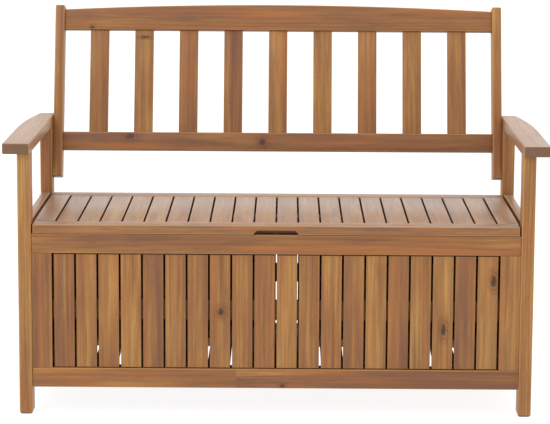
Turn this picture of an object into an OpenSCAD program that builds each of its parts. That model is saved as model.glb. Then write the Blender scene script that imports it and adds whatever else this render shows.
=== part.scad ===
// Slatted wooden storage bench: a box with a lift-up slatted lid, armrests and a leaning slatted back.
// Millimetres. X runs along the bench, Y from front to back and Z up. The origin is on the ground,
// in the middle of the bench's width and of its overall depth.

/* [Overall] */
// Width over the two arms
overall_w = 1200; // [1000:10:1500]
// Depth over the legs, from the front legs' front faces to the rear legs' rear faces
body_depth = 487; // [400:1:600]
// Height of the closed lid's top face
seat_h = 430; // [360:1:520]
// Height of the arms' top faces
arm_h = 611; // [560:1:740]
// Height of the back posts' highest corners
back_h = 871; // [720:1:1050]
// Height of the panels' lower edges above the ground
ground_gap = 62; // [40:1:90]

/* [Legs] */
// Width of a leg, side to side
leg_w = 29; // [24:1:40]
// Depth of a leg, front to back
leg_d = 44; // [36:1:60]
// Chamfer round the bottom of each leg
foot_chamfer = 4; // [1:0.5:6]

/* [Arms] */
// Thickness of an arm
arm_t = 24; // [18:1:32]
// How far an arm stands out past the legs' outer faces
arm_side_overhang = 31; // [15:1:45]
// How far an arm stands out past the front leg's front face
arm_front_overhang = 12; // [0:1:30]
// How far an arm runs on behind the rear leg's rear face
arm_rear_overhang = 31; // [0:1:60]
// How far an arm's outer edge curves in at its rear end
arm_taper = 23; // [5:1:30]
// Length of the curved stretch of an arm's outer edge
arm_curve_l = 268; // [200:1:300]
// Radius of an arm's corners
arm_corner_r = 5; // [2:0.5:10]
// Clearance between an arm's inner edge and the back post beside it
arm_post_clear = 0.5; // [0.2:0.1:2]

/* [Panels] */
// Width of the boards in the panels and the lid
board_w = 45; // [35:1:60]
// Gap aimed at between neighbouring boards
board_gap = 4.3; // [2:0.1:8]
// Height of the rails above and below the front and rear panels
rail_h = 44; // [34:1:60]
// Thickness of the rails and end boards of the front and rear panels
rail_t = 22; // [18:1:28]
// How far the panels sit behind the legs' outer faces
rail_inset = 3; // [0:0.5:8]
// Thickness of the panels' slats
slat_t = 12; // [10:1:16]
// How far the slats sit behind the rails' faces
slat_inset = 3; // [1:0.5:6]
// Open joint between the end of a slat's face and the rail
shadow_gap = 2; // [0.5:0.5:4]
// Thickness of the tongues on the slats' ends
tongue_t = 6; // [4:1:8]
// Length of the tongues in the rails' grooves
tongue_l = 8; // [5:1:12]
// Thickness of the side rails
side_rail_t = 20; // [16:1:24]
// How far the side rails sit behind the legs' outer faces
side_rail_inset = 4; // [0:0.5:6]
// Width of the battens that the slats are screwed to
batten_w = 44; // [30:1:60]
// Thickness of the battens
batten_t = 15; // [10:1:20]
// Height of the middle of the panels' battens
batten_h = 236; // [200:1:260]

/* [Floor] */
// Width of a floor slat
floor_slat_w = 50; // [40:1:60]
// Distance from one floor slat to the next
floor_pitch = 64; // [60:1:90]
// Thickness of a floor slat
floor_slat_t = 14; // [10:1:18]
// Width and height of the ledgers under the floor slats' ends
ledger = 20; // [15:1:24]
// Height of the ledgers' lower faces above the panels' lower edges
ledger_rise = 8; // [2:1:12]
// Distance from a floor batten to the nearest ledger
floor_batten_offset = 15; // [5:1:60]

/* [Lid] */
// Thickness of the lid's rails and end boards
lid_t = 21; // [18:1:26]
// Width of the lid's front and rear rails
lid_rail_w = 44; // [36:1:60]
// Thickness of the lid's slats
lid_slat_t = 15; // [12:1:18]
// How far the lid's slats lie below its rails
lid_slat_drop = 1; // [0.5:0.5:3]
// Clearance between the lid's ends and the legs
lid_side_clear = 3; // [2:0.5:6]
// How far the lid's front edge sits behind the front legs' front faces
lid_front_set = 1; // [0:0.5:4]
// Clearance between the lid's rear edge and the line of the rear legs' front faces
lid_rear_clear = 6; // [4:0.5:12]
// Width of the finger cut-out at its widest
finger_w = 102; // [80:1:140]
// Height of the finger cut-out
finger_h = 10; // [7:0.5:12]
// Depth of the finger cut-out from the lid's front edge
finger_d = 22; // [18:1:34]

/* [Hinge] */
// Diameter of the pivot pins
pin_d = 8; // [6:0.5:10]
// Running clearance round a pivot pin in the lid, on the radius
pin_play = 0.05; // [0.02:0.01:0.1]
// Depth of the pin holes in the ends of the lid's rear rail
pin_bore_l = 40; // [30:1:44]
// Gap between the end of a pin and the end of its hole
pin_end_gap = 2; // [1:0.5:4]
// Diameter of a pin's head and of the bush on it
pin_head_d = 16; // [12:0.5:18]
// Thickness of a pin's head
pin_head_t = 3; // [2:0.5:3.5]
// Gap between a bush and the lid
bush_gap = 0.6; // [0.3:0.1:1.5]

/* [Backrest] */
// Lean of the backrest from the vertical, in degrees
lean = 15; // [10:0.5:20]
// Width of a back post, side to side
post_w = 22; // [18:1:30]
// Depth of a back post, front to back
post_d = 44; // [36:1:60]
// Distance of a back post's lowest front corner behind the rear leg's front face
post_set = 2; // [0:0.5:6]
// Height of that corner above the closed lid
post_rise = 38; // [25:1:50]
// Distance from the posts' lower ends to the bottom rail, along the posts
back_rail_rise = 64.5; // [50:0.5:90]
// Height of the bottom rail
back_rail_h = 44; // [34:1:60]
// Height of the top rail at its ends
top_rail_h = 49; // [40:1:60]
// Extra height of the top rail at its middle
top_rail_crown = 14; // [4:1:24]
// How far the posts stand above the ends of the top rail
post_horn = 10; // [2:1:20]
// Thickness of the back rails
back_rail_t = 22; // [18:1:26]
// How far the back rails sit behind the posts' front faces
back_rail_inset = 8; // [2:1:12]
// Width of a back slat
back_slat_w = 45; // [35:1:60]
// Thickness of a back slat
back_slat_t = 12; // [10:1:16]
// How far the slats are let into the rails
back_slat_let = 10; // [6:1:14]
// Length of the back rails' tenons in the posts
back_tenon_l = 12; // [8:1:16]

/* [Fasteners] */
// Diameter of the frame bolts' shanks
bolt_d = 6; // [5:0.5:8]
// Diameter of a bolt's head
bolt_head_d = 12; // [10:0.5:14]
// Height of a bolt's head
bolt_head_h = 5; // [4:0.5:6]
// Depth of the holes that the bolts' heads are sunk in
bolt_sink = 6; // [5:0.5:9]
// Length of a frame bolt in the end of its rail
bolt_grip = 35; // [25:1:50]
// Diameter of the dowels under the arms
arm_dowel_d = 10; // [8:1:12]
// Diameter of the dowels in the side rails' ends
rail_dowel_d = 8; // [6:1:10]
// Diameter of a screw's shank
screw_d = 3.5; // [3:0.5:4.5]
// Diameter of a screw's head
screw_head_d = 7; // [6:0.5:9]
// Height of a screw's head
screw_head_h = 2.5; // [1.5:0.5:4]

/* [Hidden] */
$fn = 64;
back_slat_n = 9;
tiny = 0.01;
smooth_fn = 1440; // for the very large radii of the arms' and the top rail's curves

// Across the bench
leg_out = overall_w / 2 - arm_side_overhang;
leg_in = leg_out - leg_w;
side_rail_out = leg_out - side_rail_inset;
side_rail_in = side_rail_out - side_rail_t;
side_slat_out = side_rail_out - (side_rail_t - slat_t) / 2;
side_slat_in = side_slat_out - slat_t;
lid_half = leg_in - lid_side_clear;
post_in = leg_in - post_w;

// Front to back, measured from the front legs' front faces
rear_leg_y = body_depth - leg_d;
arm_y0 = -arm_front_overhang;
arm_y1 = body_depth + arm_rear_overhang;
lid_y0 = lid_front_set;
lid_y1 = rear_leg_y - lid_rear_clear;
pivot_y = lid_y1 - lid_rail_w / 2;
post_y = rear_leg_y + post_set;

// Heights
panel_z0 = ground_gap;
panel_z1 = seat_h - lid_t;
opening_z0 = panel_z0 + rail_h;
opening_z1 = panel_z1 - rail_h;
lid_z0 = seat_h - lid_t;
pivot_z = seat_h - lid_t / 2;
lid_slat_z1 = seat_h - lid_slat_drop;
lid_slat_z0 = lid_slat_z1 - lid_slat_t;
ledger_z0 = panel_z0 + ledger_rise;
floor_z0 = ledger_z0 + ledger;
floor_z1 = floor_z0 + floor_slat_t;
leg_top = arm_h - arm_t;
post_z = seat_h + post_rise;

// Rows of boards: how many fit a width, and the gap that is left between them
function row_n(width) = round((width + board_gap) / (board_w + board_gap));
function row_gap(width) = (width - row_n(width) * board_w) / (row_n(width) - 1);
function row_at(width, i) = -width / 2 + i * (board_w + row_gap(width));
panel_w = 2 * leg_in;
lid_w = 2 * lid_half;
side_w = rear_leg_y - leg_d;

// Backrest, along the leaning posts
post_l = (back_h - post_z) / cos(lean);
top_rail_v = post_l - post_horn - top_rail_h;
back_rail_top = back_rail_rise + back_rail_h;
back_slat_gap = (2 * post_in - back_slat_n * back_slat_w) / (back_slat_n + 1);
back_slat_y = back_rail_inset + (back_rail_t - back_slat_t) / 2;
crown_r = (post_in * post_in + top_rail_crown * top_rail_crown) / (2 * top_rail_crown);
back_rear = post_y + post_l * sin(lean) + post_d * cos(lean);

// The arms' curved edges
arm_curve_r = (arm_curve_l * arm_curve_l + arm_taper * arm_taper) / (2 * arm_taper);

// Bolts: the front and rear panels' in the legs, and the posts' in the rear legs
rear_panel_y = rear_leg_y + rail_t + rail_inset;
rail_bolt_y = rail_inset + rail_t / 2;
hole_wood = 1.5; // wood left between a rail's bolt and the dowels above and below it
hole_step = (rail_dowel_d + bolt_d) / 2 + hole_wood;
rail_dowel_edge = 2.5 + rail_dowel_d / 2;
rail_bolt_edge = rail_dowel_edge + hole_step;
rail_bolt_z = [panel_z0 + rail_bolt_edge, panel_z1 - rail_bolt_edge];
post_bolt_low = [post_d / 2, 30];
post_bolt_high = [9, 82];
bolt_tip = 4; // wood left between a post's bolt and the post's inner face

// Dowels: two under the arm on each leg, and two in each end of a side rail, clear of the bolts
dowel_leg_l = 30;
dowel_arm_l = 15;
arm_dowel_spread = leg_d / 2 - 12;
rail_dowel_l = 20;
rail_dowel_z = [for (z = rail_bolt_z, s = [-1, 1]) z + s * hole_step];

// Screws
batten_screw_l = 24;
floor_screw_l = 28;

mid_y = (arm_y0 + max(arm_y1, back_rear)) / 2;

wood_leg = "#c48a55";
wood_rail = "#b97c4c";
wood_slat = "#c08656";
wood_inner = "#b47a4a";
steel = "#b9bcc0";
nylon = "#1c1b1a";

// ---------------------------------------------------------------- shared shapes

// From the front legs' front faces to the bench's own frame
module placed() { translate([0, -mid_y, 0]) children(); }

// The same piece on the left, mirrored
module left() { mirror([1, 0, 0]) children(); }

// From the front of the box to its rear, mirrored
module rearward() { translate([0, rear_panel_y, 0]) mirror([0, 1, 0]) children(); }

// Along the leaning posts: Y is behind the posts' front faces and Z is up the posts
module leaning() { translate([0, post_y, post_z]) rotate([-lean, 0, 0]) children(); }

// A board between two corners
module board(low, high) { translate(low) cube(high - low); }

// Round bars and holes along X, Y and Z
module bar_x(x0, x1, y, z, d) { translate([x0, y, z]) rotate([0, 90, 0]) cylinder(d = d, h = x1 - x0); }
module bar_y(y0, y1, x, z, d) { translate([x, y0, z]) rotate([-90, 0, 0]) cylinder(d = d, h = y1 - y0); }
module bar_z(z0, z1, x, y, d) { translate([x, y, z0]) cylinder(d = d, h = z1 - z0); }

// A sunk bolt along X, head outwards, and the hole for it
module bolt(head_x, tip_x, y, z) {
    difference() {
        union() {
            bar_x(head_x - tiny, head_x + bolt_head_h, y, z, bolt_head_d);
            bar_x(tip_x, head_x, y, z, bolt_d);
        }
        translate([head_x + bolt_head_h / 2, y, z]) rotate([0, 90, 0])
            cylinder(d = bolt_head_d / 2, h = bolt_head_h, $fn = 6);
    }
}
module bolt_hole(tip_x, y, z) {
    bar_x(tip_x, leg_out + 1, y, z, bolt_d);
    bar_x(leg_out - bolt_sink, leg_out + 1, y, z, bolt_head_d + 1);
}

// A screw along +Z from its head's flat face, and the hole for it
module screw(l) {
    cylinder(d = screw_head_d, h = screw_head_h);
    cylinder(d = screw_d, h = l);
}
module screw_hole(l) { screw(l); }

// ---------------------------------------------------------------- legs and arms

module leg_blank(y0) {
    c = foot_chamfer;
    difference() {
        board([leg_in, y0, 0], [leg_out, y0 + leg_d, leg_top]);
        for (x = [leg_in, leg_out]) translate([x, y0 + leg_d / 2, 0]) rotate([0, 45, 0])
            cube([c * sqrt(2), leg_d + 2, c * sqrt(2)], center = true);
        for (y = [y0, y0 + leg_d]) translate([leg_in + leg_w / 2, y, 0]) rotate([45, 0, 0])
            cube([leg_w + 2, c * sqrt(2), c * sqrt(2)], center = true);
        for (s = [-1, 1]) bar_z(leg_top - dowel_leg_l, leg_top + 1,
                                leg_in + leg_w / 2, y0 + leg_d / 2 + s * arm_dowel_spread, arm_dowel_d);
    }
}

module front_leg() {
    color(wood_leg) placed() difference() {
        leg_blank(0);
        for (z = rail_bolt_z) bolt_hole(leg_in - 1, rail_bolt_y, z);
        rail_dowels();
    }
}

module rear_leg() {
    color(wood_leg) placed() difference() {
        leg_blank(rear_leg_y);
        for (z = rail_bolt_z) bolt_hole(leg_in - 1, rear_panel_y - rail_bolt_y, z);
        for (p = [post_bolt_low, post_bolt_high])
            bolt_hole(leg_in - 1, post_bolt_yz(p)[0], post_bolt_yz(p)[1]);
        rail_dowels();
    }
}

module arm() {
    x0 = leg_in + arm_post_clear;
    x1 = overall_w / 2;
    curve_y = arm_y1 - arm_curve_l;
    r = arm_corner_r;
    color(wood_leg) placed() difference() {
        intersection() {
            union() {
                board([x0, arm_y0, leg_top], [x1, curve_y, arm_h]);
                intersection() {
                    board([x0, curve_y - tiny, leg_top], [x1, arm_y1, arm_h]);
                    translate([x1 - arm_curve_r, curve_y, leg_top])
                        cylinder(r = arm_curve_r, h = arm_t, $fn = smooth_fn);
                }
            }
            union() {
                board([x0, arm_y0 + r, leg_top], [x1, arm_y1, arm_h]);
                board([x0 + r, arm_y0, leg_top], [x1 - r, arm_y0 + r + tiny, arm_h]);
                for (x = [x0 + r, x1 - r]) bar_z(leg_top, arm_h, x, arm_y0 + r, 2 * r);
            }
        }
        for (y = [0, rear_leg_y], s = [-1, 1])
            bar_z(leg_top - 1, leg_top + dowel_arm_l,
                  leg_in + leg_w / 2, y + leg_d / 2 + s * arm_dowel_spread, arm_dowel_d);
    }
}

// ---------------------------------------------------------------- side frames

// The dowels in the ends of one side's rails
module rail_dowels() {
    for (z = rail_dowel_z, y = [leg_d, rear_leg_y])
        bar_y(y - rail_dowel_l, y + rail_dowel_l, side_rail_out - side_rail_t / 2, z, rail_dowel_d);
}

module frame_dowels() {
    color(wood_inner) placed() for (side = [0, 1]) mirror([side, 0, 0]) {
        for (y = [0, rear_leg_y], s = [-1, 1])
            bar_z(leg_top - dowel_leg_l, leg_top + dowel_arm_l,
                  leg_in + leg_w / 2, y + leg_d / 2 + s * arm_dowel_spread, arm_dowel_d);
        rail_dowels();
    }
}

// The groove for the side slats' tongues, from z0 to z1
module side_groove(z0, z1) {
    x = side_slat_in + (slat_t - tongue_t) / 2;
    board([x, leg_d - 1, z0], [x + tongue_t, rear_leg_y + 1, z1]);
}

module side_rail(z0, z1) {
    color(wood_rail) placed() difference() {
        board([side_rail_in, leg_d, z0], [side_rail_out, rear_leg_y, z1]);
        rail_dowels();
        if (z1 == seat_h) {
            bar_x(side_rail_in - 1, side_rail_out + 1, pivot_y, pivot_z, pin_d);
            side_groove(z0 - 1, z0 + tongue_l);
        } else side_groove(z1 - tongue_l, z1 + 1);
    }
}

module side_top_rail() { side_rail(opening_z1, seat_h); }
module side_bottom_rail() { side_rail(panel_z0, opening_z0); }

module side_slats() {
    n = row_n(side_w);
    gap = (side_w - n * board_w) / (n + 1);
    x = side_slat_in + (slat_t - tongue_t) / 2;
    color(wood_slat) placed() for (i = [0 : n - 1]) {
        y = leg_d + gap + i * (board_w + gap);
        union() {
            board([side_slat_in, y, opening_z0 + shadow_gap],
                  [side_slat_out, y + board_w, opening_z1 - shadow_gap]);
            board([x, y, opening_z0 - tongue_l], [x + tongue_t, y + board_w, opening_z1 + tongue_l]);
        }
    }
}

module side_batten() {
    color(wood_inner) placed()
        board([side_slat_in - batten_t, leg_d, batten_h - batten_w / 2],
              [side_slat_in, rear_leg_y, batten_h + batten_w / 2]);
}

// ---------------------------------------------------------------- front and rear panels

slat_y = rail_inset + slat_inset;
tongue_y = slat_y + (slat_t - tongue_t) / 2;
groove_half = leg_in - tongue_l;
slat_n = row_n(panel_w);
end_board_in = leg_in - board_w;

module panel_groove(z0, z1) {
    board([-groove_half, tongue_y, z0], [groove_half, tongue_y + tongue_t, z1]);
}

module rail_bolt_holes() {
    for (side = [0, 1], z = rail_bolt_z) mirror([side, 0, 0])
        bar_x(leg_in - bolt_grip, leg_in + 1, rail_bolt_y, z, bolt_d);
}

module panel_top_rail() {
    color(wood_rail) difference() {
        board([-leg_in, rail_inset, opening_z1], [leg_in, rail_inset + rail_t, panel_z1]);
        panel_groove(opening_z1 - 1, opening_z1 + tongue_l);
        rail_bolt_holes();
    }
}

module panel_bottom_rail() {
    color(wood_rail) difference() {
        board([-leg_in, rail_inset, panel_z0], [leg_in, rail_inset + rail_t, opening_z0]);
        panel_groove(opening_z0 - tongue_l, opening_z0 + 1);
        rail_bolt_holes();
    }
}

module panel_end_board() {
    color(wood_rail) union() {
        board([end_board_in, rail_inset, opening_z0], [leg_in, rail_inset + rail_t, opening_z1]);
        board([end_board_in, tongue_y, opening_z0 - tongue_l],
              [groove_half, tongue_y + tongue_t, opening_z1 + tongue_l]);
    }
}

module panel_slats() {
    color(wood_slat) for (i = [1 : slat_n - 2]) {
        x = row_at(panel_w, i);
        difference() {
            union() {
                board([x, slat_y, opening_z0 + shadow_gap],
                      [x + board_w, slat_y + slat_t, opening_z1 - shadow_gap]);
                board([x, tongue_y, opening_z0 - tongue_l],
                      [x + board_w, tongue_y + tongue_t, opening_z1 + tongue_l]);
            }
            panel_screw_at(x + board_w / 2) screw_hole(batten_screw_l);
        }
    }
}

module panel_batten() {
    color(wood_inner) difference() {
        board([-end_board_in, slat_y + slat_t, batten_h - batten_w / 2],
              [end_board_in, slat_y + slat_t + batten_t, batten_h + batten_w / 2]);
        for (i = [1 : slat_n - 2])
            panel_screw_at(row_at(panel_w, i) + board_w / 2) screw_hole(batten_screw_l);
    }
}

// A screw's place on a panel's batten, pointing at the slats
module panel_screw_at(x) {
    translate([x, slat_y + slat_t + batten_t, batten_h]) rotate([90, 0, 0]) children();
}

module panel_screws_row() {
    for (i = [1 : slat_n - 2])
        panel_screw_at(row_at(panel_w, i) + board_w / 2) screw(batten_screw_l);
}

module panel_screws() {
    color(steel) placed() {
        panel_screws_row();
        rearward() panel_screws_row();
    }
}

module frame_bolts() {
    color(steel) placed() for (side = [0, 1]) mirror([side, 0, 0])
        for (z = rail_bolt_z, y = [rail_bolt_y, rear_panel_y - rail_bolt_y])
            bolt(leg_out - bolt_sink, leg_in - bolt_grip, y, z);
}

// ---------------------------------------------------------------- floor

floor_y0 = rail_inset + rail_t;
floor_y1 = rear_panel_y - floor_y0;
floor_batten_y0 = floor_y0 + ledger + floor_batten_offset;
floor_batten_y1 = floor_y1 - ledger - floor_batten_offset - batten_w;
floor_side_n = floor((leg_in - floor_slat_w / 2) / floor_pitch);

// A floor screw's place, pointing down into a ledger
module floor_screw_at(x, y) { translate([x, y, floor_z1]) rotate([180, 0, 0]) children(); }

module floor_slats() {
    color(wood_slat) placed() for (i = [-floor_side_n : floor_side_n]) {
        x = i * floor_pitch;
        difference() {
            board([x - floor_slat_w / 2, floor_y0, floor_z0], [x + floor_slat_w / 2, floor_y1, floor_z1]);
            for (y = [floor_y0 + ledger / 2, floor_y1 - ledger / 2])
                floor_screw_at(x, y) screw_hole(floor_screw_l);
        }
    }
}

module floor_ledger(y0) {
    color(wood_inner) placed() difference() {
        board([-leg_in, y0, ledger_z0], [leg_in, y0 + ledger, floor_z0]);
        for (i = [-floor_side_n : floor_side_n])
            floor_screw_at(i * floor_pitch, y0 + ledger / 2) screw_hole(floor_screw_l);
    }
}

module floor_screws() {
    color(steel) placed() for (i = [-floor_side_n : floor_side_n])
        for (y = [floor_y0 + ledger / 2, floor_y1 - ledger / 2])
            floor_screw_at(i * floor_pitch, y) screw(floor_screw_l);
}

module floor_batten(y0) {
    color(wood_inner) placed()
        board([-side_rail_in, y0, ledger_z0], [side_rail_in, y0 + batten_w, floor_z0]);
}

// ---------------------------------------------------------------- lid

lid_tongue_z = lid_slat_z0 + (lid_slat_t - tongue_t) / 2;
lid_groove_half = lid_half - tongue_l;
lid_in_y0 = lid_y0 + lid_rail_w;
lid_in_y1 = lid_y1 - lid_rail_w;
lid_n = row_n(lid_w);
lid_end_in = lid_half - board_w;
lid_batten_y = (lid_in_y0 + lid_in_y1) / 2;

module lid_groove(y0, y1) {
    board([-lid_groove_half, y0, lid_tongue_z], [lid_groove_half, y1, lid_tongue_z + tongue_t]);
}

// The finger cut-out's outline: slanted ends that round into a flat top
module finger_shape() {
    half = finger_w / 2;
    intersection() {
        hull() {
            translate([-half, -1]) square([finger_w, 1]);
            for (s = [-1, 1]) translate([s * (half - finger_h * 1.1), finger_h * 0.6])
                circle(r = finger_h * 0.4, $fn = 32);
        }
        translate([-half, -1]) square([finger_w, finger_h + 1]);
    }
}

module lid_front_rail() {
    color(wood_rail) placed() difference() {
        board([-lid_half, lid_y0, lid_z0], [lid_half, lid_in_y0, seat_h]);
        lid_groove(lid_in_y0 - tongue_l, lid_in_y0 + 1);
        translate([0, lid_y0 + finger_d, lid_z0]) rotate([90, 0, 0])
            linear_extrude(finger_d + 1) finger_shape();
    }
}

module lid_rear_rail() {
    color(wood_rail) placed() difference() {
        board([-lid_half, lid_in_y1, lid_z0], [lid_half, lid_y1, seat_h]);
        lid_groove(lid_in_y1 - 1, lid_in_y1 + tongue_l);
        for (side = [0, 1]) mirror([side, 0, 0])
            bar_x(lid_half - pin_bore_l, lid_half + 1, pivot_y, pivot_z, pin_d + 2 * pin_play);
    }
}

module lid_end_board() {
    color(wood_slat) placed() union() {
        board([lid_end_in, lid_in_y0, lid_z0], [lid_half, lid_in_y1, seat_h]);
        board([lid_end_in, lid_in_y0 - tongue_l, lid_tongue_z],
              [lid_groove_half, lid_in_y1 + tongue_l, lid_tongue_z + tongue_t]);
    }
}

// A lid screw's place, pointing up through the batten
module lid_screw_at(x) { translate([x, lid_batten_y, lid_slat_z0 - batten_t]) children(); }

module lid_slats() {
    color(wood_slat) placed() for (i = [1 : lid_n - 2]) {
        x = row_at(lid_w, i);
        difference() {
            union() {
                board([x, lid_in_y0, lid_slat_z0], [x + board_w, lid_in_y1, lid_slat_z1]);
                board([x, lid_in_y0 - tongue_l, lid_tongue_z],
                      [x + board_w, lid_in_y1 + tongue_l, lid_tongue_z + tongue_t]);
            }
            lid_screw_at(x + board_w / 2) screw_hole(batten_screw_l);
        }
    }
}

module lid_batten() {
    color(wood_inner) placed() difference() {
        board([-lid_end_in, lid_batten_y - batten_w / 2, lid_slat_z0 - batten_t],
              [lid_end_in, lid_batten_y + batten_w / 2, lid_slat_z0]);
        for (i = [1 : lid_n - 2]) lid_screw_at(row_at(lid_w, i) + board_w / 2) screw_hole(batten_screw_l);
    }
}

module lid_screws() {
    color(steel) placed() for (i = [1 : lid_n - 2])
        lid_screw_at(row_at(lid_w, i) + board_w / 2) screw(batten_screw_l);
}

module hinge_pin() {
    color(steel) placed() union() {
        bar_x(side_rail_out, side_rail_out + pin_head_t, pivot_y, pivot_z, pin_head_d);
        bar_x(lid_half - pin_bore_l + pin_end_gap, side_rail_out + tiny, pivot_y, pivot_z, pin_d);
    }
}

module hinge_bush() {
    color(nylon) placed() difference() {
        bar_x(lid_half + bush_gap, side_rail_in, pivot_y, pivot_z, pin_head_d);
        bar_x(lid_half, side_rail_in + 1, pivot_y, pivot_z, pin_d);
    }
}

// ---------------------------------------------------------------- backrest

// A point on a leaning post, as [behind its front face, up from its end], in the box's Y and Z
function post_bolt_yz(p) = [
    post_y + p[0] * cos(lean) + p[1] * sin(lean),
    post_z - p[0] * sin(lean) + p[1] * cos(lean)];

back_tenon_shoulder = 6; // how much lower a back rail's tenon is than the rail, at each edge

module back_tenons() {
    for (v = [[back_rail_rise, back_rail_top], [top_rail_v, top_rail_v + top_rail_h]])
        board([post_in, back_slat_y, v[0] + back_tenon_shoulder],
              [post_in + back_tenon_l, back_slat_y + back_slat_t, v[1] - back_tenon_shoulder]);
}

module back_post() {
    color(wood_leg) placed() difference() {
        leaning() difference() {
            board([post_in, 0, 0], [leg_in, post_d, post_l]);
            back_tenons();
        }
        for (p = [post_bolt_low, post_bolt_high])
            bar_x(post_in + bolt_tip, leg_in + 1, post_bolt_yz(p)[0], post_bolt_yz(p)[1], bolt_d);
    }
}

module back_slat_body(i) {
    x = -post_in + back_slat_gap + (i - 1) * (back_slat_w + back_slat_gap);
    board([x, back_slat_y, back_rail_top - back_slat_let],
          [x + back_slat_w, back_slat_y + back_slat_t, top_rail_v + back_slat_let]);
}

module back_slat(i) { color(wood_slat) placed() leaning() back_slat_body(i); }

// A back rail from v0 to v1, with its tenons and without the slats' pockets
module back_rail(v0, v1) {
    difference() {
        union() {
            board([-post_in, back_rail_inset, v0], [post_in, back_rail_inset + back_rail_t, v1]);
            for (side = [0, 1]) mirror([side, 0, 0]) intersection() {
                back_tenons();
                board([post_in, 0, v0], [leg_in, post_d, v1]);
            }
        }
        for (i = [1 : back_slat_n]) back_slat_body(i);
    }
}

module back_bottom_rail() {
    color(wood_rail) placed() leaning() back_rail(back_rail_rise, back_rail_top);
}

module back_top_rail() {
    top = top_rail_v + top_rail_h + top_rail_crown;
    color(wood_rail) placed() leaning() intersection() {
        back_rail(top_rail_v, top);
        translate([0, 0, top - crown_r]) rotate([-90, 0, 0])
            cylinder(r = crown_r, h = post_d, $fn = smooth_fn);
    }
}

module back_bolts() {
    color(steel) placed() for (side = [0, 1]) mirror([side, 0, 0])
        for (p = [post_bolt_low, post_bolt_high])
            bolt(leg_out - bolt_sink, post_in + bolt_tip, post_bolt_yz(p)[0], post_bolt_yz(p)[1]);
}

// ---------------------------------------------------------------- nodes

left() front_leg();  // front_leg_left
front_leg();  // front_leg_right
left() rear_leg();  // rear_leg_left
rear_leg();  // rear_leg_right
left() arm();  // arm_left
arm();  // arm_right
left() side_top_rail();  // side_top_rail_left
side_top_rail();  // side_top_rail_right
left() side_bottom_rail();  // side_bottom_rail_left
side_bottom_rail();  // side_bottom_rail_right
left() side_slats();  // side_slats_left
side_slats();  // side_slats_right
left() side_batten();  // side_batten_left
side_batten();  // side_batten_right
placed() panel_top_rail();  // front_top_rail
placed() panel_bottom_rail();  // front_bottom_rail
left() placed() panel_end_board();  // front_end_board_left
placed() panel_end_board();  // front_end_board_right
placed() panel_slats();  // front_slats
placed() panel_batten();  // front_batten
placed() rearward() panel_top_rail();  // rear_top_rail
placed() rearward() panel_bottom_rail();  // rear_bottom_rail
left() placed() rearward() panel_end_board();  // rear_end_board_left
placed() rearward() panel_end_board();  // rear_end_board_right
placed() rearward() panel_slats();  // rear_slats
placed() rearward() panel_batten();  // rear_batten
floor_slats();
floor_batten(floor_batten_y0);  // floor_batten_front
floor_batten(floor_batten_y1);  // floor_batten_rear
floor_ledger(floor_y0);  // floor_ledger_front
floor_ledger(floor_y1 - ledger);  // floor_ledger_rear
lid_front_rail();
lid_rear_rail();
left() lid_end_board();  // lid_end_board_left
lid_end_board();  // lid_end_board_right
lid_slats();
lid_batten();
left() back_post();  // back_post_left
back_post();  // back_post_right
back_top_rail();
back_bottom_rail();
back_slat(1);  // back_slat_1
back_slat(2);  // back_slat_2
back_slat(3);  // back_slat_3
back_slat(4);  // back_slat_4
back_slat(5);  // back_slat_5
back_slat(6);  // back_slat_6
back_slat(7);  // back_slat_7
back_slat(8);  // back_slat_8
back_slat(9);  // back_slat_9
left() hinge_pin();  // hinge_pin_left
hinge_pin();  // hinge_pin_right
left() hinge_bush();  // hinge_bush_left
hinge_bush();  // hinge_bush_right
frame_bolts();
back_bolts();
frame_dowels();
panel_screws();
floor_screws();
lid_screws();
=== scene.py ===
"""A slatted wooden storage bench: boards with rounded edges and oiled grain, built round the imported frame."""

import math
import random

import bpy
import numpy as np
from bpy.props import FloatProperty, FloatVectorProperty, IntProperty, PointerProperty
from mathutils import Matrix, Vector


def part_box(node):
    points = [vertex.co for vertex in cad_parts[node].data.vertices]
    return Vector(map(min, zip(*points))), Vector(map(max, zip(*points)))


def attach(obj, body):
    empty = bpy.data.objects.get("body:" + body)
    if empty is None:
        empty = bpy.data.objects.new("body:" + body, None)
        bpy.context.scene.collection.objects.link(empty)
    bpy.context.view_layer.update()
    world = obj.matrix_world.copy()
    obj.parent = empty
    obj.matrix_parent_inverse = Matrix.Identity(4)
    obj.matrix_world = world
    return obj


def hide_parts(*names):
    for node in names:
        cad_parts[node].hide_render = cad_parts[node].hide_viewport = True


bl_info = {
    "name": "Slatted storage bench",
    "version": (1, 0, 0),
    "blender": (4, 5, 0),
    "location": "3D View > Sidebar > Bench",
    "description": "Builds a garden storage bench from rounded, grained boards",
    "category": "Add Mesh",
}

MM = 0.001
X, Y, Z = 0, 1, 2
LEFT, RIGHT = "_left", "_right"
TINY = 0.01 * MM  # places closer together than this are the same place
SHARP = math.radians(30)  # edges that bend by more than this are sanded
EDGE_STEPS = 3  # flat steps round a sanded edge

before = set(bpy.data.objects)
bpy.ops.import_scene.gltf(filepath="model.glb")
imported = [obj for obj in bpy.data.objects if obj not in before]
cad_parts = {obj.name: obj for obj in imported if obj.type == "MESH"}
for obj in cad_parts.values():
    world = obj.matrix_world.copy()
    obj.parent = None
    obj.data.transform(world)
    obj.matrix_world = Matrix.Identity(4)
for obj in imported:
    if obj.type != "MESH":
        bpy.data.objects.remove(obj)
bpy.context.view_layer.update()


# ---------------------------------------------------------------- settings


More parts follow.
